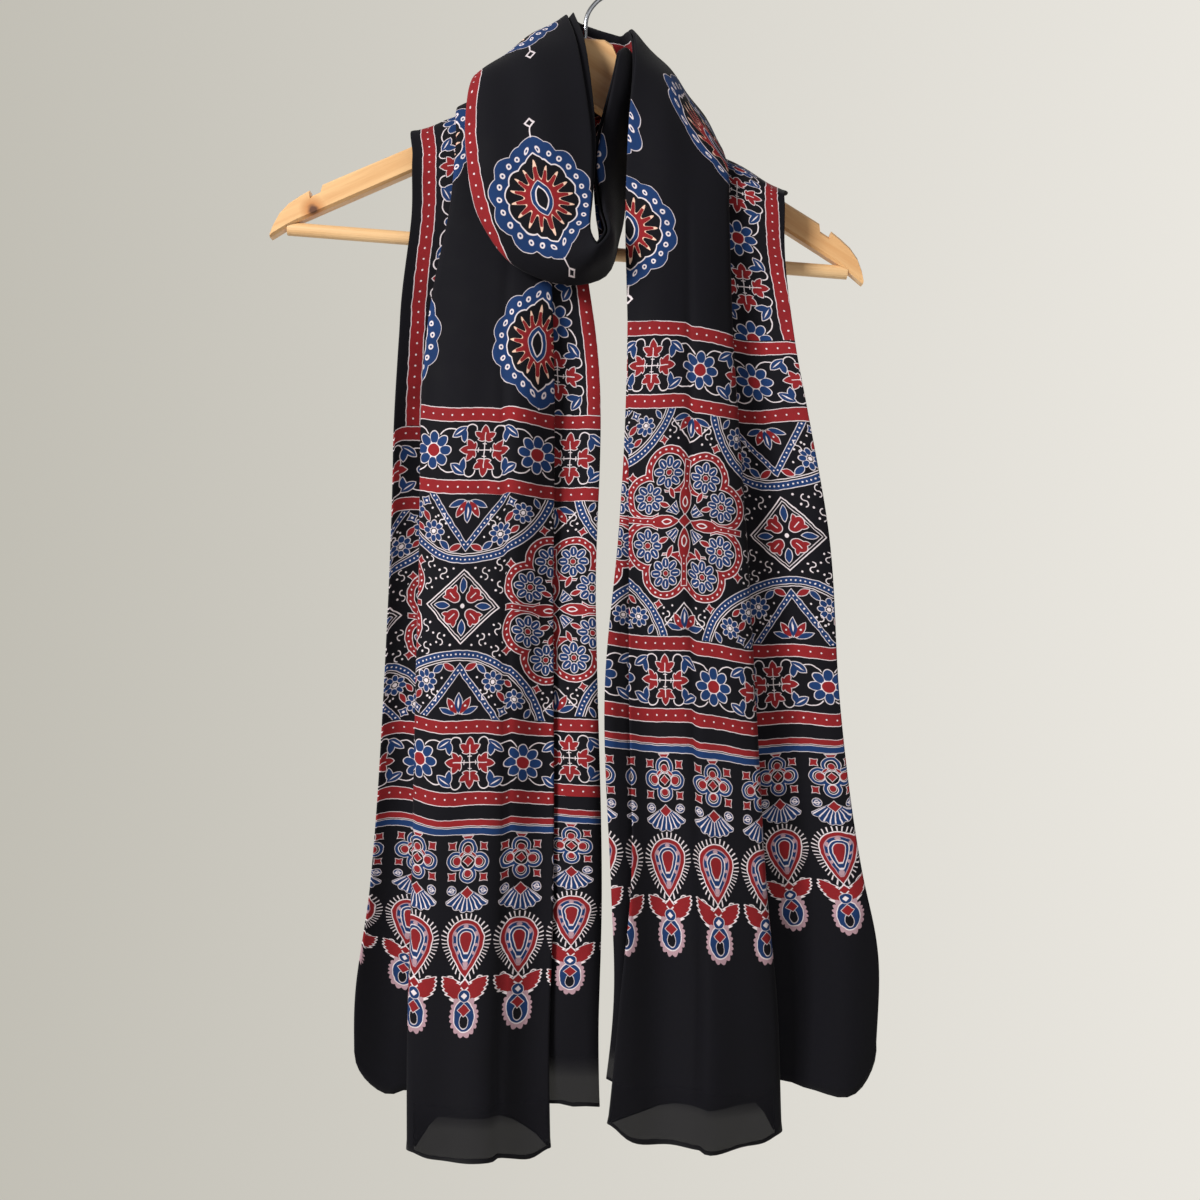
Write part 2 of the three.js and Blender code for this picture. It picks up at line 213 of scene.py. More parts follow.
# A row of the table is a section across the stole, in millimetres: the places of the front layer's outer
# and inner folds, the outer fold's distance from the cloth's outer edge, how far each edge shows beside the
# front layer, the hidden folds' depth, the gap between layers, the outer edge's bend outwards, and how far
# each edge is drawn back along the cloth.
columns = (
    "outer_x outer_y outer_z inner_x inner_y inner_z start outer inner tuck gap lift outer_rise inner_rise"
).split()
sections = np.array([
    # left end, up to the left arm
    [-134, -30, -894, -30, -30, -894, 256, 38, 36, 130, 3.6, 0, 84, 40],
    [-134, -31, -815, -31, -31, -815, 256, 37, 36, 130, 3.4, 0, 56, 32],
    [-131, -32, -700, -28, -32, -700, 256, 30, 35, 130, 3.2, 0, 8, 16],
    [-126, -34, -484, -28, -34, -484, 255, 22, 31, 130, 3, 0, -20, 2],
    [-116, -36, -269, -28, -36, -269, 246, 22, 29, 110, 3, 0, -24, 0],
    [-101, -35, -194, -32, -35, -190, 247, 30, 16, 70, 2.6, 0, -12, 0],
    [-98, -31, -155, -42, -31, -146, 240, 33, 5, 40, 2.1, 0, 0, 0],
    # over the left arm and behind the neck
    [-98, -2, -120.5, -53, -2, -101.5, 234, 34, 0, 44, 1.6, 0, 0, 0],
    [-87, 22, -139, -40, 17, -108, 212, 22, 2, 48, 1.8, 0, 0, 0],
    [-48, 28, -158, -22, 19, -112, 184, 6, 0, 42, 1.8, 0, 0, 0],
    [2, 28, -156, 6, 19, -110, 166, 0, 0, 36, 1.8, 0, 0, 0],
    [26, 25, -138, 21, 17, -99, 150, 0, 0, 28, 1.8, 0, 0, 0],
    # over the right arm and down as the loop's right leg
    [41, -2, -108.5, 28, -2, -78, 146, 0, 0, 22, 1.6, 0, 0, 0],
    [34, -21, -124, 22, -27, -86, 152, 0, 0, 26, 1.8, 0, 0, 0],
    [28, -18, -152, 14, -36, -124, 156, 0, 0, 28, 2.4, 0, 0, 0],
    [27, -18, -185, 5, -42, -168, 156, 0, 0, 30, 2.6, 0, 0, 0],
    [22, -26, -222, 9, -55, -206, 150, 0, 0, 30, 2.5, 0, 0, 0],
    # round the loop's bottom and up as its left leg
    [9, -37, -255, 13, -66, -229, 128, -2, 0, 26, 2.3, 0, 0, 0],
    [-16, -45, -262, 5, -72, -240, 98, -2, 0, 28, 2.3, 0, 0, 0],
    [-50, -54, -252, -1, -67, -228, 74, -2, 0, 36, 2.2, 0, 0, 0],
    [-78, -59, -218, 0, -62, -200, 61, -2, 1, 62, 2.2, 0, 0, 0],
    [-88, -57, -170, 0, -57, -160, 61, -2, 3, 78, 2.3, 0, 0, 0],
    [-89, -48, -134, -5, -46, -118, 61, -2, 5, 76, 2.2, 0, 0, 0],
    [-86, -30, -107, -12, -26, -76, 61, -2, 6, 64, 1.8, 0, 0, 0],
    # behind the neck again
    [-80, 0, -99, -19, 0, -49, 68, -2, 5, 62, 1.7, 0, 0, 0],
    [-56, 30, -111, -15, 24, -47, 84, -2, 4, 62, 1.7, 0, 0, 0],
    [2, 42, -122, 4, 38, -49, 112, 4, 3, 60, 1.9, 0, 0, 0],
    [58, 33, -128, 23, 32, -52, 128, 20, 0, 58, 2.2, 7, 0, 0],
    # over the right arm and down to the right end
    [91, 2, -144.8, 30, 2, -60, 152, 58, 0, 74, 1.8, 22, 0, 0],
    [95, -25, -156, 32, -28, -92, 186, 55, 0, 72, 1.9, 18, 0, 0],
    [98, -41, -177.5, 27, -43, -142, 234, 45, 0, 75, 2.2, 7, 0, 0],
    [98, -45, -206, 24.5, -45, -196, 257, 41, 0, 76, 3, 0, -12, 0],
    [101, -43, -291, 26, -43, -291, 252, 45, 0, 110, 3, 0, -2, 0],
    [111, -41, -438, 27, -41, -438, 229, 60, 7, 130, 3, 0, 4, 0],
    [117, -40, -551, 27, -40, -551, 224, 61, 17, 130, 3, 0, 10, 0],
    [126, -38, -699, 28, -38, -699, 220, 69, 14, 130, 3.2, 0, 28, 4],
    [133, -36, -769, 21, -36, -769, 216, 73, 5, 130, 3.4, 0, 42, 12],
    [137, -34, -881, 11, -34, -881, 214, 68, 2, 130, 3.6, 0, 72, 38],
])
cloth_width = 560.0
cloth_thickness = 0.6


def blend(knots, rows, u):
    """Rows of a table at each u: a cubic between each two rows.

    The slope at a row is the mean of the chords on its two sides, each weighted by the other one's span.
    """
    spans = np.diff(knots)
    chords = np.diff(rows, axis=0) / spans[:, None]
    slopes = np.empty_like(rows)
    slopes[0], slopes[-1] = chords[0], chords[-1]
    before, after = spans[:-1, None], spans[1:, None]
    slopes[1:-1] = (chords[:-1] * after + chords[1:] * before) / (before + after)
    i = np.clip(np.searchsorted(knots, u, side="right") - 1, 0, len(spans) - 1)
    span = spans[i][:, None]
    f = (u[:, None] - knots[i][:, None]) / span
    start = rows[i] * (2 * f**3 - 3 * f**2 + 1) + slopes[i] * span * (f**3 - 2 * f**2 + f)
    return start + rows[i + 1] * (3 * f**2 - 2 * f**3) + slopes[i + 1] * span * (f**3 - f**2)


def middle(rows):
    """The point half-way between the outer and the inner fold of each row."""
    return (rows[:, :3] + rows[:, 3:6]) / 2


def folded_section(row, layers, turns):
    """Points across a section, from the outer to the inner edge.

    Gives p across, q outwards, the rise along the cloth and t, the distance across the flat cloth.
    Five layers run to and fro at levels of the gap, and half circles join them. On the flat cloth the outer
    layer starts after the strip turned under, the front layer begins at its start value and is wider by its
    gathers, and the inner layer ends before the strip turned inside. The tucked layers take up the rest in
    their middle thirds.
    """
    front, gap, tuck = row["front"], row["gap"], row["tuck"]
    outer_fold, inner_fold = -front / 2, front / 2
    outer_edge, inner_edge = outer_fold - row["outer"], inner_fold + row["inner"]
    inner_start = row["start"] + front - cloth_width
    far = min((row["start"] + outer_edge + outer_fold) / 2, outer_fold + tuck, inner_fold - gap)
    near = max((inner_start + inner_edge + inner_fold) / 2, inner_fold - tuck, outer_fold + 4 * gap)
    level = [-4 * gap, -3 * gap, 0, -gap, -2 * gap]
    ends = [outer_edge, far, outer_fold, inner_fold, near, inner_edge]
    drawn, slack = row["outer_rise"], row["inner_rise"]
    rises = [drawn, 0.55 * drawn, 0.08 * drawn, 0.2 * slack, 0.9 * slack, slack]
    ways = np.array([1, -1, 1, -1, 1])
    radii = np.abs(np.diff(level)) / 2
    arcs = math.pi * radii
    begins = np.array(ends[:-1]) + ways * np.concatenate([[0], radii])
    finishes = np.array(ends[1:]) - ways * np.concatenate([radii, [0]])
    lengths = np.abs(finishes - begins)
    width = lengths[2] * row["gather"]
    flat_outer, flat_front = row["under"], row["start"] + radii[1]
    flat_inner = cloth_width - row["inside"] - lengths[4]
    flat_begin = [flat_outer, flat_outer + lengths[0] + arcs[0], flat_front]
    flat_begin += [flat_front + width + arcs[2], flat_inner]
    flat_end = [flat_outer + lengths[0], flat_front - arcs[1], flat_front + width]
    flat_end += [flat_inner - arcs[3], flat_inner + lengths[4]]
    belly, crowding, corner_radius = 0.05 * front, 1.7, 44
    parts = []
    for k in range(5):
        f = np.linspace(0, 1, layers[k] + 1) ** (crowding if k == 0 else 1)
        p = begins[k] + (finishes[k] - begins[k]) * f
        q = np.full_like(p, level[k])
        if k == 2:
            q += belly * (1 - (2 * f - 1) ** 2)
        if k == 0:
            q += row["lift"] * np.maximum(0, outer_fold - p) / max(row["outer"], 1)
        bow = 1 - np.clip((p - outer_edge) / corner_radius, 0, 1)
        ease = (np.sqrt(1 - bow**2), f**6, f, 1 - (1 - f) ** 6, f)[k]
        rise = rises[k] + (rises[k + 1] - rises[k]) * ease
        third = (width if k == 2 else lengths[k]) / 3
        held = [flat_begin[k], flat_begin[k] + third, flat_end[k] - third, flat_end[k]]
        t = np.interp(f, [0, 1 / 3, 2 / 3, 1], held)
        parts.append(np.stack([p, q, rise, t], 1))
        if k == 4:
            break
        g = np.arange(1, turns[k]) / turns[k]
        centre, swing = (level[k] + level[k + 1]) / 2, (level[k + 1] - level[k]) / 2
        p = finishes[k] + ways[k] * radii[k] * np.sin(math.pi * g)
        q = centre - swing * np.cos(math.pi * g)
        t = flat_end[k] + (flat_begin[k + 1] - flat_end[k]) * g
        parts.append(np.stack([p, q, np.full_like(g, rises[k + 1]), t], 1))
    return np.vstack(parts)


def waves(p, hang, front, left):
    """What the waves of the cloth add outwards and along it, at p across a section so far up from its hem.

    Two sines make the soft folds of the loose part, and short sines the drag below the arm and the taut part
    over it. A narrow dent is the pressed crease. Along the cloth, bell curves draw up the hem at the folds,
    sines make it sway, a straight line makes the bands lean, and they step a little at the crease.
    """
    side = 1 if left else 2
    loose = np.clip((700 - hang) / 150, 0, 1)
    soft = 5.4 * np.sin(p / 15 + 1.3 * side + 0.8 * np.sin(hang / 140))
    soft += 2.8 * np.sin(p / 8.5 - hang / 190 + side)
    drag = 1.4 * np.sin((hang + 0.35 * p) / 21 + side) * np.exp(-(((hang - 560) / 80) ** 2))
    taut = 0.8 * np.sin(p / 6.5 + 0.4 * np.sin(hang / 45)) * np.clip((hang - 600) / 120, 0, 1)
    from_crease = p - (14 if left else -4) - 4 * np.sin(hang / 160)
    crease = 3.4 * np.exp(-np.abs(from_crease) / 2.6)
    corners = np.exp(-(((p + front / 2) / 11) ** 2)) + np.exp(-(((p - front / 2) / 11) ** 2))
    sway = 2.6 * np.sin(p / 19 + 2.1 * side) + 1.2 * np.sin(p / 8.3)
    lean = (-0.11 if left else 0.09) * np.clip((hang - 60) / 250, 0, 1) * np.clip((720 - hang) / 110, 0, 1)
    step = 1.6 * np.tanh(from_crease / 2) + 1.5 * np.sin(p / 12 + side)
    outwards = loose * (soft - crease) + drag + taut
    return outwards, (8 * corners + sway) * np.exp(-hang / 45) + lean * p + loose * step


knots = np.concatenate([[0], np.cumsum(np.linalg.norm(np.diff(middle(sections), axis=0), axis=1))])
cloth_length = knots[-1]

# Each end is printed in bands across it: from the hem a plain margin, three rows of small motifs, two thin
# lines, and two flower bands between red stripes with a wide lattice between them. The field lies between the
# two ends. Margins are measured from the hem and the bands' upper ends from the margin, in millimetres.
margins = {"left": 98.0, "right": 141.0}
band_ends = {"drops": 165.0, "low_band": 228.0, "lattice": 389.0, "high_band": 452.0}
marks = {"left": [0.0], "right": [cloth_length]}
for side, sign in (("left", 1), ("right", -1)):
    for height in band_ends.values():
        marks[side].append(marks[side][0] + sign * (margins[side] + height))
edges = marks["left"] + marks["right"][::-1]
field_step, end_step = 5.5, 8
stations = [0.0]
for low, high in zip(edges[:-1], edges[1:]):
    count = max(1, round((high - low) / (field_step if low == marks["left"][-1] else end_step)))
    stations += list(low + (high - low) * np.arange(1, count + 1) / count)
stations = np.array(stations)
hangs = np.minimum(stations, cloth_length - stations)

nudge = 2
values = blend(knots, sections, stations)
ahead = blend(knots, sections, np.minimum(stations + nudge, cloth_length))
behind = blend(knots, sections, np.maximum(stations - nudge, 0))
centres = middle(values)
along = middle(ahead) - middle(behind)
along /= np.linalg.norm(along, axis=1, keepdims=True)
across = values[:, 3:6] - values[:, :3]
fronts = np.linalg.norm(across, axis=1)
across /= fronts[:, None]
outward = np.cross(across, along)
outward /= np.linalg.norm(outward, axis=1, keepdims=True)

# The real cloth slips and gathers a little where it is wound, and the print moves with it. A row of slips has
# a distance along the stole and how far the print lies back there, on the front layer and at the outer edge.
slips = np.array([
    [793, 0, 0],
    [915, -16, -16],
    [1262, -16, -16],
    [1300, -36, -36],
    [1384, -36, -36],
    [1464, -85, -11],
    [1598, -85, -11],
    [1608, -19, -11],
    [1700, -11, -11],
])
front_slips, edge_slips = (np.interp(stations, slips[:, 0], slips[:, c]) for c in (1, 2))
slip_start, slip_blend = 110, 40
printed_length = cloth_length + front_slips[-1]
# A row of gathers has the distance along, the front layer's flat width over its hanging width, and the widths
# of the strips that are turned under at the outer edge and inside at the inner edge.
gathers = np.array([
    [0, 1.03, 0, 8],
    [540, 1.03, 0, 8],
    [600, 1.14, 0, 8],
    [740, 1.14, 0, 8],
    [800, 1, 0, 0],
    [1580, 1, 2, 0],
    [1700, 1.14, 9, 0],
    [1800, 1.14, 20, 0],
    [2000, 1.14, 20, 0],
    [2150, 1.14, 15, 0],
])
layer_steps, turn_steps = (18, 9, 30, 9, 12), (5, 8, 5, 5)
points, flats = [], []
for i, station in enumerate(stations):
    row = dict(zip(columns, values[i]))
    row["front"] = fronts[i]
    for c, name in enumerate(("gather", "under", "inside"), 1):
        row[name] = np.interp(station, gathers[:, 0], gathers[:, c])
    p, q, rise, t = folded_section(row, layer_steps, turn_steps).T
    left = station < cloth_length / 2
    outwards, upwards = waves(p, hangs[i], fronts[i], left)
    shift = (rise + upwards) * (1 if left else -1)
    place = centres[i] + np.outer(p, across[i]) + np.outer(q + outwards, outward[i])
    points.append(place + np.outer(shift, along[i]))
    slip = edge_slips[i] + (front_slips[i] - edge_slips[i]) * np.clip((t - slip_start) / slip_blend, 0, 1)
    flats.append(np.stack([t, station + slip], 1))
points, flats = np.array(points) / 1000, np.array(flats) / 1000

# The two faces stand half the thickness off the middle surface, more at the rolled hems. A rim joins them.
hem_width, hem_roll, side_width, side_roll = 4, 0.9, 3, 0.5
normals = np.cross(np.gradient(points, axis=1), np.gradient(points, axis=0))
normals /= np.linalg.norm(normals, axis=2, keepdims=True)
to_side = np.minimum(flats[:, :, 0], cloth_width / 1000 - flats[:, :, 0]) * 1000
rolled = hem_roll * (hangs[:, None] < hem_width) + side_roll * (to_side < side_width)
half = (cloth_thickness + rolled) / 2000
rows, cols = points.shape[:2]
vertices = np.concatenate([(points + s * half[:, :, None] * normals).reshape(-1, 3) for s in (1, -1)])
base = (np.arange(rows - 1)[:, None] * cols + np.arange(cols - 1)).ravel()
a, b, c, d = base, base + 1, base + cols + 1, base + cols
back = rows * cols
faces = [np.stack([a, b, c, d], 1), np.stack([a, d, c, b], 1) + back]
hem = np.arange(cols - 1)
last = hem + (rows - 1) * cols
edge = np.arange(rows - 1) * cols
end = edge + cols - 1
faces.append(np.stack([hem, hem + back, hem + 1 + back, hem + 1], 1))
faces.append(np.stack([last, last + 1, last + 1 + back, last + back], 1))
faces.append(np.stack([edge, edge + cols, edge + cols + back, edge + back], 1))
faces.append(np.stack([end, end + back, end + cols + back, end + cols], 1))
faces = np.concatenate(faces)
mesh = bpy.data.meshes.new("stole_cloth")
mesh.from_pydata(vertices.tolist(), [], faces.tolist())
uv = np.concatenate([flats.reshape(-1, 2)] * 2)[faces.ravel()]
mesh.uv_layers.new(name="flat").data.foreach_set("uv", uv.ravel())
mesh.shade_smooth()

# Each band has its own material. The lowest strip of the front layers is a thin, see-through one.
sheer_height = 50
zone_edges = np.array(edges[1:-1]) + np.interp(edges[1:-1], stations, front_slips)
zone = np.searchsorted(zone_edges, uv.reshape(-1, 4, 2).mean(axis=1)[:, 1] * 1000)
sheer = np.zeros((rows - 1, cols - 1), bool)
front_columns = slice(sum(layer_steps[:2]) + sum(turn_steps[:2]), None)
sheer[:, front_columns] = hangs[:-1, None] < sheer_height
sheer = np.concatenate([sheer.ravel(), sheer.ravel(), np.zeros(len(faces) - 2 * sheer.size, bool)])
zone = np.where(sheer, len(edges) - 1, zone)
mesh.polygons.foreach_set("material_index", zone.astype(np.int32))

black, red, indigo = rgb(10, 9, 15), rgb(124, 27, 31), rgb(22, 48, 90)
white, cream, rose = rgb(212, 200, 202), rgb(222, 184, 162), rgb(164, 132, 140)
flat_noise = {"noise_dimensions": "2D"}


def cloth_coordinates(flow):
    """Distance across and along the flat cloth in millimetres, a little uneven as hand stamping is."""
    place = flow.add("ShaderNodeUVMap", {"uv_map": "flat"})
    sideways = flow.add("ShaderNodeSeparateXYZ", {}, {"Vector": place}, "X")
    upwards = flow.add("ShaderNodeSeparateXYZ", {}, {"Vector": place}, "Y")
    shake = flow.add("ShaderNodeTexNoise", flat_noise, {"Vector": place, "Scale": 150, "Detail": 1}) - 0.5
    drift = flow.add("ShaderNodeTexNoise", flat_noise, {"Vector": place, "Scale": 14, "Detail": 1}) - 0.5
    return sideways * 1000 + shake * 1.3, upwards * 1000 + drift * 4.5 + shake * 0.9


# The motifs are distances in millimetres, below zero inside a shape. A shape is laid over those before it.


def disc(x, y, cx, cy, radius):
    """Circle about a centre."""
    return (x - cx).reach(y - cy) - radius


def nearest(shape, x, y, *each):
    """Several shapes of one kind as one, each given by its own centre and sizes."""
    first, *others = [shape(x, y, *sizes) for sizes in each]
    return first.least(*others)


def lens(x, y, half_width, half_height):
    """Pointed oval: two circles that meet at the top and bottom points."""
    offset = (half_height**2 - half_width**2) / (2 * half_width)
    return (abs(x) + offset).reach(y) - (offset + half_width)


def turned(x, y, cx, cy, degrees):
    """Coordinates about a centre, turned by an angle."""
    c, s = math.cos(math.radians(degrees)), math.sin(math.radians(degrees))
    u, v = x - cx, y - cy
    return u * c + v * s, v * c - u * s


def blade(x, y, cx, cy, degrees, half_width, half_length):
    """Pointed leaf about a centre, its length along a direction."""
    along, aside = turned(x, y, cx, cy, degrees)
    return lens(aside, along, half_width, half_length)


def diamond(x, y, cx, cy, size):
    """Square on its point about a centre."""
    return (abs(x - cx) + abs(y - cy) - size) * 0.7


def square(x, y, cx, cy, size, degrees=0):
    """Square with hollow sides about a centre, turned by an angle."""
    if degrees:
        x, y = turned(x, y, cx, cy, degrees)
        cx, cy = 0, 0
    u, v = abs(x - cx), abs(y - cy)
    return u.most(v) - size + (size - u.least(v)) * 0.18


def squiggle(x, y, cx, cy):
    """Curl shaped like an S, two half circles one over the other, with a dot on each side."""
    right = (abs(disc(x, y, cx, cy + 2.1, 2.1)) - 0.34).most(cx - x)
    left = (abs(disc(x, y, cx, cy - 2.1, 2.1)) - 0.34).most(x - cx)
    return right.least(left, nearest(disc, x, y, (cx - 3.0, cy + 2.6, 0.75), (cx + 3.0, cy - 2.6, 0.75)))


def daisy(x, y, radius, petals=8, plump=1.35, width=0.235):
    """A ring of oval petals round the origin, and the vein in each."""
    away = x.reach(y)
    angle = y.math("ARCTAN2", x).wrap(2 * math.pi / petals)
    u, v = away * angle.math("COSINE") - radius * 0.66, away * angle.math("SINE")
    oval = (u / plump).reach(v) - radius * width
    return oval, (abs(v) - 0.3).most(abs(u) - radius * 0.17)


def outlined(colour, shape, ink, line=0.39):
    """Prints a shape in one ink with a white line round it."""
    return colour.tint(shape - line, white).tint(shape, ink)


lattice_width, lattice_height = 154.0, 160.0
flower_pitch, drop_pitch = lattice_width / 2, lattice_width / 4


def flower_band(colour, x, y):
    """Prints a flower band along x: daisies, crosses of four jagged leaves, and leaf pairs on arcs."""
    ax, ay = x.fold(flower_pitch), abs(y)
    petals, _ = daisy(x.wrap(flower_pitch), y, 13.6)
    heart = ax.reach(ay) - 4.5
    cx = flower_pitch / 2 - ax
    big, small = cx.most(ay), cx.least(ay)
    jagged = nearest(blade, big, small, (12.4, 0, 0, 2.9, 5.8), (10.4, 3.4, 58, 2.2, 4.6))
    jagged = jagged.least(blade(big, small, 7.6, 2.2, 100, 1.4, 3.0))
    bars = (small - 0.3).most(big - 12.5).least((abs(big - 4.4) - 0.3).most(small - 1.5))
    leaves = nearest(blade, ax, ay, (19.4, 13.2, 35, 2.9, 6.2), (23.0, 10.6, 95, 2.3, 5.0))
    ribs = blade(ax, ay, 19.4, 13.2, 35, 0.42, 4.2)
    arc = (abs(disc(ax, ay, 12.5, 6.5, 9.2)) - 0.38).most(11.0 - ay, ax - 21)
    curl = (abs(disc(ax, ay, 28.0, 14.5, 4.0)) - 0.38).most(14.0 - ay)
    colour = colour.tint(jagged.least(petals, leaves, heart) - 0.47, white).tint(arc.least(curl), white)
    colour = colour.tint(jagged, red).tint(petals.least(leaves), indigo)
    return outlined(colour, heart, red, 0.55).tint(bars.least(ribs), white)


def stripe(colour, x, y):
    """Prints a dotted red stripe with white edges along x."""
    return outlined(colour, abs(y) - 4.6, red, 0.51).tint(x.fold(7.6).reach(y) - 0.62, white)


def medallion(colour, x, y):
    """Prints a pointed medallion: a scalloped indigo ring with white marks, and a red sun with an eye."""
    ax = abs(x)
    turn = (ax / 37.0).math("ARCTAN2", y / 41.0)
    away = (ax / 37.0).reach(y / 41.0)
    point = (1 - turn / 0.24).most(0.0) + (1 - (math.pi - turn) / 0.24).most(0.0)
    scallop = abs((turn * 6).math("SINE"))
    outer = (away - 0.89 - scallop * 0.09 - point * 0.2) * 36
    inner = (away - 0.64 - scallop * 0.05 - point * 0.17) * 36
    from_mark = ((turn - 0.13).wrap(math.pi / 12) * 29).reach((away - 0.79 - point * 0.14) * 36)
    spoke = (turn * 16).math("COSINE") * 0.5 + 0.5
    flame = (away - 0.31 - spoke * spoke * 0.25 - point * 0.1) * 30
    tips = flame.most((0.5 + point * 0.06 - away) * 36)
    eye = lens(x, y, 7.0, 12.5)
    stalk = (abs(y) - 52).most(ax - 0.45, 44 - abs(y))
    finial = abs(diamond(ax, abs(y), 0, 55, 3.2)) - 0.55
    colour = outlined(colour, outer, indigo).tint(abs(from_mark - 1.3) - 0.5, white)
    colour = colour.tint(inner + 0.1, white).tint(inner + 1.0, black)
    colour = colour.tint(flame - 0.7, cream).tint(flame, red).tint(tips, cream)
    colour = outlined(colour, eye, indigo).tint(eye + 2.6, white).tint(eye + 3.4, black)
    return colour.tint(stalk.least(finial), white)


def palmette(colour, x, y):
    """Prints half a palmette of five leaves that hangs from y = 0."""
    buds = blade(x, y, 4.8, -7.4, -58, 2.5, 6.6)
    leaves = nearest(blade, x, y, (0, -9.4, 90, 2.7, 7.4), (8.2, -3.6, -22, 2.0, 6.0))
    colour = colour.tint(buds.least(leaves) - 0.39, white).tint(buds, red).tint(leaves, indigo)
    return colour.tint(blade(x, y, 0, -10, 90, 0.6, 4.0).least(disc(x, y, 4.9, -7.6, 0.7)), white)


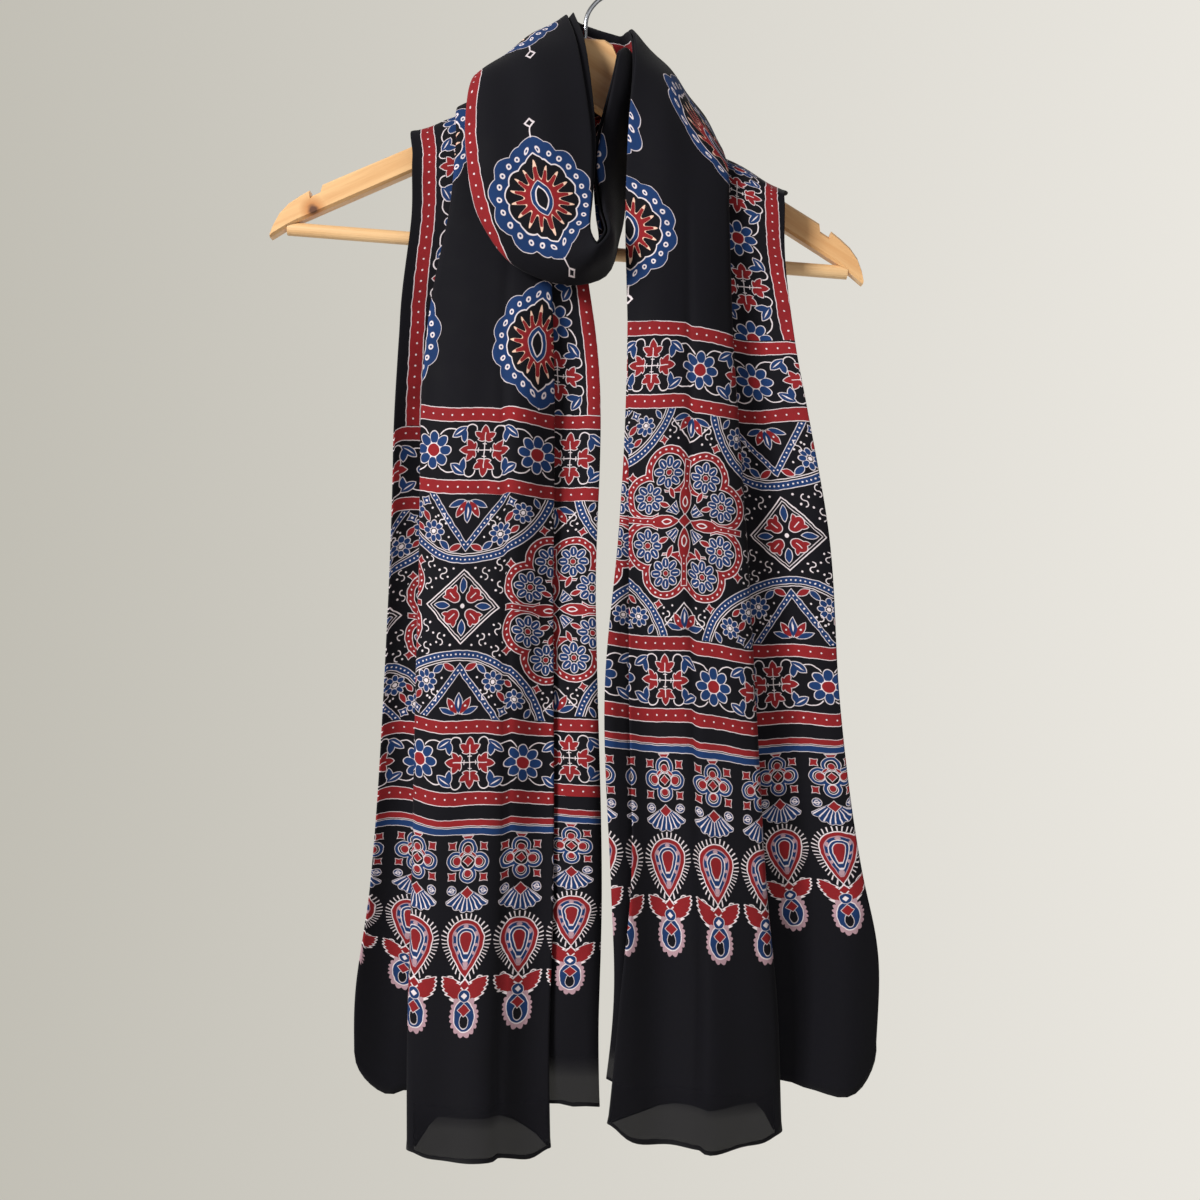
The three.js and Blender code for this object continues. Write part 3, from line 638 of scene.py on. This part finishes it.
def lattice(colour, x, y):
    """Prints the lattice along x: red eight-lobed frames, diamonds between, circles round the corners."""
    ax, ay = x.fold(lattice_width), abs(y)
    bx, by = lattice_width / 2 - ax, lattice_height / 2 - ay
    lobe_centres, lobe_middle = ((14.6, 35.6), (28.6, 16.4)), 21
    lobes = nearest(disc, ax, ay, (*lobe_centres[0], 12.9), (*lobe_centres[1], 12.6))
    lobes = lobes.least((ax - lobe_middle).most(ay - lobe_middle))
    circle_radius, circle_drop = 62.5, 17
    corner = bx.reach(by + circle_drop)
    circle = abs(corner - circle_radius) - 2.4
    circle_way = (by + circle_drop).math("ARCTAN2", bx).wrap(math.pi / 60)
    circle_dots = (circle_way * circle_radius).reach(corner - circle_radius) - 0.6

    # Small red squares, curls and specks fill the ground between the frames and the circles.
    clear = (6.8 - lobes).most(66.0 - corner)
    links = nearest(square, ax, ay, (43.0, 31.0, 2.3, 40), (20.6, 57.6, 2.2, 33))
    curls = nearest(squiggle, ax, ay, (13.6, 67.0), (51.0, 31.5), (61.5, 24.0), (50.0, 15.5))
    specks = nearest(disc, ax, ay, (9.5, 59.0, 0.75), (16.0, 60.0, 0.75), (56.0, 20.0, 0.75))
    specks = specks.least(nearest(disc, ax, ay, (69.0, 28.0, 0.75), (46.0, 24.5, 0.75), (10.0, 73.5, 0.75)))
    vee = (abs(ay - ax * 1.02 - 57.5) * 0.7 - 0.38).most(clear)
    colour = outlined(colour, links, red, 0.43).tint(curls.least(specks, vee).most(clear), white)
    colour = palmette(colour, ax, ay - 78)
    colour = outlined(colour, circle, indigo, 0.51).tint(circle_dots, white)

    # Inside a circle: a dotted ribbon as a zigzag, daisies, leaves and another palmette.
    inside = corner - 58.6
    from_ribbon = (by + bx * 1.33 - 36) * 0.6
    ribbon = (abs(from_ribbon) - 1.8).most(inside)
    ribbon_dots = (bx * 0.6 - by * 0.8).fold(3.8).reach(from_ribbon).most(inside) - 0.6
    near, _ = daisy(bx - 25.0, by - 26.0, 8.0)
    far, _ = daisy(bx - 40.5, by - 12.0, 7.4)
    sprigs = nearest(blade, bx, by, (8.0, 36.6, 25, 2.2, 4.6), (31.0, 15.5, 125, 2.0, 4.2))
    sprigs = sprigs.least(blade(bx, by, 35.5, 24.0, -45, 1.8, 3.6))
    leaves = nearest(blade, bx, by, (16.0, 35.0, -40, 2.2, 4.4), (50.0, 3.6, 60, 1.8, 3.8))
    seeds = nearest(disc, bx, by, (32.0, 5.0, 0.9), (25.0, 26.0, 1.5), (40.5, 12.0, 1.4))
    dots = nearest(disc, bx, by, (24.0, 15.5, 0.7), (27.0, 9.5, 0.7), (13.0, 29.0, 0.7))
    white_marks = squiggle(bx, by, 19.0, 17.0).least(dots, seeds, ribbon_dots)
    shapes = ribbon.least(near.least(far).most(inside), square(bx, by, 32.0, 5.0, 2.6, 20), leaves)
    colour = colour.tint(abs(inside + 0.4) - 0.28, white).tint(shapes.least(sprigs) - 0.39, white)
    colour = colour.tint(shapes, indigo).tint(sprigs, red).tint(white_marks, white)
    colour = palmette(colour, bx, 2 - by)

    # Between two frames: a double-lined diamond with a red cross of notched petals and indigo leaves.
    gem = (bx + ay - 27) * 0.7
    star_x, star_y = turned(bx, ay, 0, 0, 45)
    star, star_veins = daisy(star_x, star_y, 16.5, 4, 1.4, 0.26)
    notched = star.least(blade(star_x, abs(star_y), 12.6, 3.6, 50, 1.7, 3.6))
    gem_leaf = nearest(blade, bx, ay, (15.5, 0, 0, 2.3, 5.6), (0, 15.5, 90, 2.3, 5.6))
    colour = colour.tint((abs(gem) - 0.4).least(abs(gem + 2.0) - 0.25), white)
    colour = colour.tint(notched.least(gem_leaf) - 0.43, white).tint(notched, red).tint(gem_leaf, indigo)
    colour = colour.tint(star_veins.least(bx.reach(ay) - 1.6), white)

    # The frame: a dotted red edge, eight daisies, a red cross with beads, and indigo fans at its middle.
    edge_dots = (ay.math("ARCTAN2", ax).wrap(math.pi / 36) * 42).reach(lobes - 3.0) - 0.6
    colour = outlined(colour, lobes - 5.2, red, 0.6).tint(edge_dots, white)
    colour = outlined(colour, lobes, black, 0.47)
    near_bloom, near_veins = daisy(ax - lobe_centres[0][0], ay - lobe_centres[0][1], 11.4)
    far_bloom, far_veins = daisy(ax - lobe_centres[1][0], ay - lobe_centres[1][1], 11.2)
    hearts = nearest(disc, ax, ay, *((*centre, 1.9) for centre in lobe_centres))
    big, small = ax.most(ay), ax.least(ay)
    arms = lens(small, big - 16.5, 4.4, 12.0).least((small - 1.9).most(big - 45, 18 - big))
    fan_out, fan_side = turned(ax, ay, 8.4, 8.4, 45)
    fans = (abs(fan_side) - fan_out * 0.45 - 3.0).most(abs(fan_out) - 3.6)
    fan_ribs = (fan_side.fold(2.4) - 0.3).most(fans + 0.6)
    leaves = nearest(blade, ax, ay, (11.2, 20.6, 65, 1.8, 4.2), (16.6, 12.4, 20, 1.7, 4.0))
    notch = abs(lens(small, big - 14, 1.7, 3.8)) - 0.4
    beads = small.reach((big - 24).fold(5.5)).most(20 - big, big - 44) - 0.5
    colour = outlined(colour, near_bloom.least(far_bloom, fans), indigo)
    colour = colour.tint(near_veins.least(far_veins, fan_ribs), white)
    colour = outlined(outlined(colour, hearts, red, 0.31), arms.least(leaves), red, 0.43)
    return outlined(colour.tint(notch.least(beads), white), diamond(ax, ay, 0, 0, 4.6), red, 0.47)


def end_rows(colour, x, y):
    """Prints the end rows, y down from the thin lines: flowers on fans, fringed drops and finials."""
    ax = abs(x.wrap(drop_pitch))
    lobes = nearest(disc, ax, y, (0, 8.8, 6.6), (8.8, 17.8, 6.4), (0, 26.8, 6.0), (0, 18, 7.4))
    seeds = nearest(disc, ax, y, (0, 9.6, 2.5), (8.2, 17.8, 2.9), (0, 26.2, 2.5))
    seeds = seeds.least(diamond(ax, y, 0, 17.6, 3.4), blade(ax, y, 4.6, 13.0, 45, 0.9, 2.6))
    studs = nearest(square, ax, y, (11.6, 7.0, 2.6), (11.8, 28.6, 2.5))
    studs = studs.least((ax * 1.3 + y - 4.6).most(-y) * 0.6)
    fan_away = ax.reach(y - 36.0)
    fan_way = ax.math("ARCTAN2", y - 36.0)
    fan = (fan_away - 17.6 - abs((fan_way * 9).math("SINE")) * 1.4).most((fan_way - 0.98) * 14)
    fan = fan.least(disc(ax, y, 11.6, 38.2, 3.1))
    ribs = ((fan_way.fold(0.23) - 0.03) * fan_away).most(fan + 0.5, 7.5 - fan_away)
    scrolls = abs(disc(ax, y, 11.6, 38.2, 1.5)) - 0.3
    colour = outlined(outlined(colour, studs, red, 0.35), fan, indigo).tint(ribs.least(scrolls), white)
    colour = outlined(colour, lobes, indigo, 0.35).tint(lobes + 2.1, white).tint(lobes + 2.6, black)
    colour = outlined(outlined(colour, seeds, red, 0.3), diamond(ax, y, 0, 40.0, 4.4), red)

    # A drop: a round top that tapers to a point, with rings of colour inside and ticks all round.
    drop_radius, drop_length = 13.2, 29
    dy = y - 74
    taper = 1 - (dy.most(0.0) / drop_length).math("POWER", 1.6)
    drop = (ax.reach(dy.least(0.0)) - drop_radius * taper).most((dy - drop_length) * 0.5) * 0.86
    tick_way = ax.math("ARCTAN2", dy - 5)
    ticks = (abs(tick_way.wrap(math.pi / 19) * 18) - 0.36).most(drop - 4.4, 1.0 - drop)
    patches = (tick_way.wrap(math.pi / 4) * 9).reach((drop + 4.0) * 1.2) - 1.3
    colour = colour.tint(ticks.least(drop - 0.7), white).tint(drop, red).tint(drop + 2.4, rose)
    colour = colour.tint(drop + 3.0, indigo).tint(patches.most(drop + 3.0), rose).tint(drop + 5.0, white)
    colour = colour.tint(drop + 5.6, indigo).tint(drop + 7.2, white).tint(drop + 7.7, red)

    # A finial: toothed red wings over a fringed indigo oval with an eye.
    teeth = abs(((y + ax * 0.3) * 1.1).math("SINE"))
    wings = blade(ax, y, 8.4, 111.0, -50, 4.6, 10.8) - teeth * 1.1
    wings = wings.least(diamond(ax, y, 0, 108.5, 3.6))
    curls = (abs(disc(ax, y, 11.4, 104.0, 2.6)) - 0.4).most(y - 105)
    body = ((ax / 8.0).reach((y - 130.5) / 12.0) - 1) * 8.0
    fringe = body - 1.6 - abs((ax.math("ARCTAN2", y - 130.5) * 9).math("SINE")) * 1.5
    eye = ((ax / 3.0).reach((y - 134.5) / 5.2) - 1) * 3.0
    colour = colour.tint(curls.least(wings - 0.7 - teeth * 0.5), white).tint(wings, red).tint(fringe, rose)
    colour = outlined(colour.tint(body - 0.16, white).tint(body + 0.4, indigo), eye, black, 0.35)
    colour = outlined(colour, disc(ax, y, 0, 116.0, 4.2), indigo, 0.35)
    colour = colour.tint(diamond(ax, y, 0, 116.0, 2.3), white)
    return outlined(colour, diamond(ax, y, 0, 126.0, 4.6), red, 0.35)


def up_from_margin(y, side):
    """Distance along the cloth above an end's plain margin."""
    return (y if side == "left" else printed_length - y) - margins[side]


def rows_print(colour, x, y, side, phase):
    """Prints the end rows below a red and an indigo line."""
    rows_height = 143
    down = rows_height - up_from_margin(y, side)
    colour = end_rows(colour, x - phase, down)
    red_line, blue_line = abs(down + 9.6) - 2.2, abs(down + 3.6) - 2.3
    colour = colour.tint(red_line.least(blue_line) - 0.39, white)
    return colour.tint(red_line, red).tint(blue_line, indigo)


def band_print(colour, x, y, side, phase, below):
    """Prints a flower band between two stripes, above the band below."""
    middle_height, stripe_height = 31.25, 25.8
    up = up_from_margin(y, side) - band_ends[below] - middle_height
    colour = flower_band(colour, x - phase, up)
    return stripe(stripe(colour, x, up - stripe_height), x, up + stripe_height)


def lattice_print(colour, x, y, side, phase):
    """Prints the lattice above the low band."""
    middle_height = (band_ends["low_band"] + band_ends["lattice"]) / 2
    return lattice(colour, x - phase, up_from_margin(y, side) - middle_height)


def field_print(colour, x, y):
    """Prints medallions in rows and columns, and along both sides a flower band between two stripes."""
    first_column, column_pitch, first_row, row_pitch = 107, 115.3, 596, 147
    colour = medallion(colour, (x - first_column).wrap(column_pitch), (y - first_row).wrap(row_pitch))
    inwards = cloth_width / 2 - abs(x - cloth_width / 2)
    border_width, border_middle, stripe_place = 70.5, 38.5, 26
    colour = flower_band(colour.tint(inwards - border_width, black), y, inwards - border_middle)
    for place in (border_middle - stripe_place, border_middle + stripe_place):
        colour = stripe(colour, y, inwards - place)
    return colour


def plain_print(colour, x, y):
    """Leaves the ground plain."""
    return colour


def cloth_material(name, printed, settings, sheer):
    """Thin matte cotton: the print from its flat coordinates, dye unevenness and a fine plain weave."""
    material, flow, shader = new_material(name)
    x, y = cloth_coordinates(flow)
    place = flow.add("ShaderNodeUVMap", {"uv_map": "flat"})
    patchy = flow.add("ShaderNodeTexNoise", flat_noise, {"Vector": place, "Scale": 45, "Detail": 6})
    thread = flow.add("ShaderNodeTexNoise", flat_noise, {"Vector": place, "Scale": 1400, "Detail": 1})
    dye = 0.62 + patchy * 0.5 + thread * 0.26
    grey = flow.add("ShaderNodeCombineColor", {}, {"Red": dye, "Green": dye, "Blue": dye})
    colour = printed(flow.mix(0.0, black, black), x, y, *settings)
    weave = (x * 12.0).math("SINE") * (y * 12.0).math("SINE")
    bump = flow.add("ShaderNodeBump", {}, {"Strength": 0.12, "Distance": 0.0002, "Height": weave + thread})
    flow.mix(1.0, colour, grey, "MULTIPLY").feed(shader, "Base Color")
    (0.72 + patchy * 0.16).feed(shader, "Roughness")
    bump.feed(shader, "Normal")
    shader.inputs["Sheen Weight"].default_value = 0.04
    shader.inputs["Sheen Roughness"].default_value = 0.5
    shader.inputs["Specular IOR Level"].default_value = 0.12
    if sheer:
        hem = y.least(printed_length - y)
        cover = 0.78 + thread * 0.06 + hem.math("MULTIPLY_ADD", 1 / 24, -1.0, clamp=True) * 0.22
        cover.most(hem.math("MULTIPLY_ADD", -1.6, 5.2, clamp=True)).feed(shader, "Alpha")
    return material


rows_phase = cloth_width / 2 + drop_pitch / 2
stole = bpy.data.objects.new("stole_cloth", mesh)
bpy.context.collection.objects.link(stole)
for name, printed, settings in (
    ("left_rows", rows_print, ("left", rows_phase)),
    ("left_low_band", band_print, ("left", 260.75, "drops")),
    ("left_lattice", lattice_print, ("left", 213)),
    ("left_high_band", band_print, ("left", 260.75, "lattice")),
    ("field", field_print, ()),
    ("right_high_band", band_print, ("right", 277, "lattice")),
    ("right_lattice", lattice_print, ("right", 280)),
    ("right_low_band", band_print, ("right", 258, "drops")),
    ("right_rows", rows_print, ("right", rows_phase)),
    ("sheer_hem", plain_print, ()),
):
    mesh.materials.append(cloth_material("print_" + name, printed, settings, name == "sheer_hem"))
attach(stole, "root")
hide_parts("stole")

# Stage: a pale floor well below, surroundings that are pale behind and grey elsewhere, and two soft lamps.
floor_level, floor_reach = -1.5, 1.5
floor_corners = [(-floor_reach, -2), (floor_reach, -2), (floor_reach, 1), (-floor_reach, 1)]
floor = bpy.data.meshes.new("floor")
floor.from_pydata([(x, y, floor_level) for x, y in floor_corners], [], [(0, 1, 2, 3)])
ground = bpy.data.objects.new("floor", floor)
bpy.context.collection.objects.link(ground)
paint, flow, shader = new_material("floor_paint")
shader.inputs["Base Color"].default_value = rgb(214, 212, 204)
shader.inputs["Roughness"].default_value = 0.9
floor.materials.append(paint)
world = bpy.data.worlds.new("surroundings")
bpy.context.scene.world = world
world.use_nodes = True
sky = Flow(world.node_tree, None)
# In the surroundings this output is the direction looked along.
toward = sky.add("ShaderNodeTexCoord", output="Generated")
rightwards = sky.add("ShaderNodeSeparateXYZ", {}, {"Vector": toward}, "X")
backwards = sky.add("ShaderNodeSeparateXYZ", {}, {"Vector": toward}, "Y")
shaded, lit, elsewhere = rgb(190, 187, 177), rgb(236, 233, 226), rgb(122, 121, 121)
glow = sky.mix(rightwards.math("MULTIPLY_ADD", 1.1, 0.5, clamp=True), shaded, lit)
room = sky.mix(backwards.math("MULTIPLY_ADD", 2.5, -0.5, clamp=True), elsewhere, glow)
background = world.node_tree.nodes["Background"]
room.feed(background, "Color")
background.inputs["Strength"].default_value = 1.0
for name, place, turn, size, power in (
    ("key", (-1.6, -1.5, 0.5), (62, 0, -46), 0.8, 76),
    ("fill", (1.5, -1.8, -0.2), (82, 0, 40), 1.8, 10),
):
    lamp = bpy.data.lights.new(name, "AREA")
    lamp.size = size
    lamp.energy = power
    lamp_object = bpy.data.objects.new(name, lamp)
    lamp_object.location = place
    lamp_object.rotation_euler = [math.radians(v) for v in turn]
    bpy.context.collection.objects.link(lamp_object)
bpy.context.scene.view_settings.view_transform = "Standard"
camera_distance, view_width = 1.0, 0.8916
camera_lens = bpy.data.cameras.new("camera")
camera_lens.sensor_fit = "HORIZONTAL"
camera_lens.angle = 2 * math.atan(view_width / 2 / camera_distance)
camera = bpy.data.objects.new("camera", camera_lens)
camera.location = (0.006, -camera_distance, -0.484)
camera.rotation_euler = (math.radians(90), 0, 0)
bpy.context.collection.objects.link(camera)
bpy.context.scene.camera = camera
